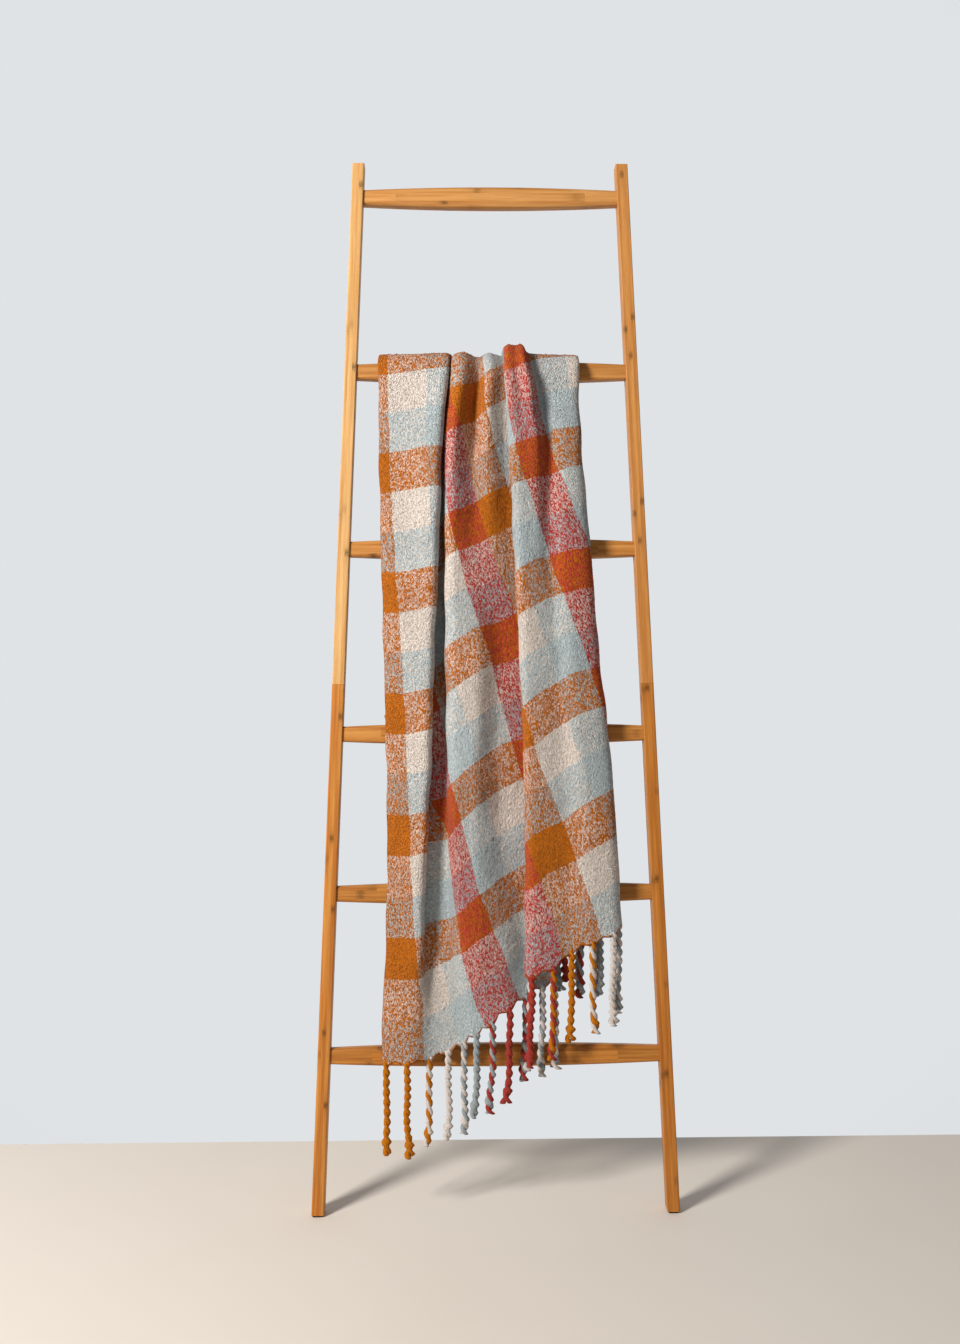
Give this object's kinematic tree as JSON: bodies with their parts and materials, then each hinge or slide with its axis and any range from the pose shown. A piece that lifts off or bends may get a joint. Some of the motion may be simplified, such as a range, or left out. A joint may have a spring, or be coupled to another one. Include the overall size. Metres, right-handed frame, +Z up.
{
  "type": "blanket ladder with throw",
  "caption": "Leaning bamboo blanket ladder with bowed rungs, and a folded plaid throw with twisted tassels hung over one rung.",
  "frame": {"origin": "on the floor, midway between the feet, midway between the front of the feet and the wall", "axes": "+Z up, +Y towards the wall the ladder leans on, +X to the right seen from the front"},
  "size_m": [0.5868, 0.2824, 1.7009],
  "materials": {
    "bamboo_light": "clear satin lacquer on laminated bamboo",
    "bamboo_dark": "clear satin lacquer on laminated bamboo, warmer batch",
    "bamboo_rung": "clear satin lacquer on laminated bamboo",
    "steel": "zinc plated",
    "rubber": "matt",
    "throw_cloth": "soft brushed plaid in orange, cream, pale blue and red",
    "tassel_yarn": "twisted yarn"
  },
  "bodies": {
    "ladder": {"rail_left_lower": "bamboo_dark", "rail_left_upper": "bamboo_light", "rail_stud_left": "steel", "rung_bolt_left_1": "steel", "rung_bolt_left_2": "steel", "rung_bolt_left_3": "steel", "rung_bolt_left_4": "steel", "rung_bolt_left_5": "steel", "rung_bolt_left_6": "steel", "rail_right_lower": "bamboo_dark", "rail_right_upper": "bamboo_light", "rail_stud_right": "steel", "rung_bolt_right_1": "steel", "rung_bolt_right_2": "steel", "rung_bolt_right_3": "steel", "rung_bolt_right_4": "steel", "rung_bolt_right_5": "steel", "rung_bolt_right_6": "steel", "rung_1": "bamboo_rung", "rung_2": "bamboo_rung", "rung_3": "bamboo_rung", "rung_4": "bamboo_rung", "rung_5": "bamboo_rung", "rung_6": "bamboo_rung", "foot_pad_left": "rubber", "wall_pad_left": "rubber", "foot_pad_right": "rubber", "wall_pad_right": "rubber"},
    "throw": {"throw": "throw_cloth", "tassel_front_01": "tassel_yarn", "tassel_front_02": "tassel_yarn", "tassel_front_03": "tassel_yarn", "tassel_front_04": "tassel_yarn", "tassel_front_05": "tassel_yarn", "tassel_front_06": "tassel_yarn", "tassel_front_07": "tassel_yarn", "tassel_front_08": "tassel_yarn", "tassel_front_09": "tassel_yarn", "tassel_front_10": "tassel_yarn", "tassel_front_11": "tassel_yarn", "tassel_front_12": "tassel_yarn", "tassel_front_13": "tassel_yarn", "tassel_front_14": "tassel_yarn", "tassel_front_15": "tassel_yarn", "tassel_front_16": "tassel_yarn", "tassel_back_01": "tassel_yarn", "tassel_back_02": "tassel_yarn", "tassel_back_03": "tassel_yarn", "tassel_back_04": "tassel_yarn", "tassel_back_05": "tassel_yarn", "tassel_back_06": "tassel_yarn", "tassel_back_07": "tassel_yarn", "tassel_back_08": "tassel_yarn", "tassel_back_09": "tassel_yarn", "tassel_back_10": "tassel_yarn", "tassel_back_11": "tassel_yarn", "tassel_back_12": "tassel_yarn", "tassel_back_13": "tassel_yarn", "tassel_back_14": "tassel_yarn"}
  },
  "joints": [
    {"name": "throw_slide", "type": "slide", "parent": "ladder", "child": "throw", "axis": [1, 0, 0], "range_m": [-0.028, 0.068]}
  ]
}
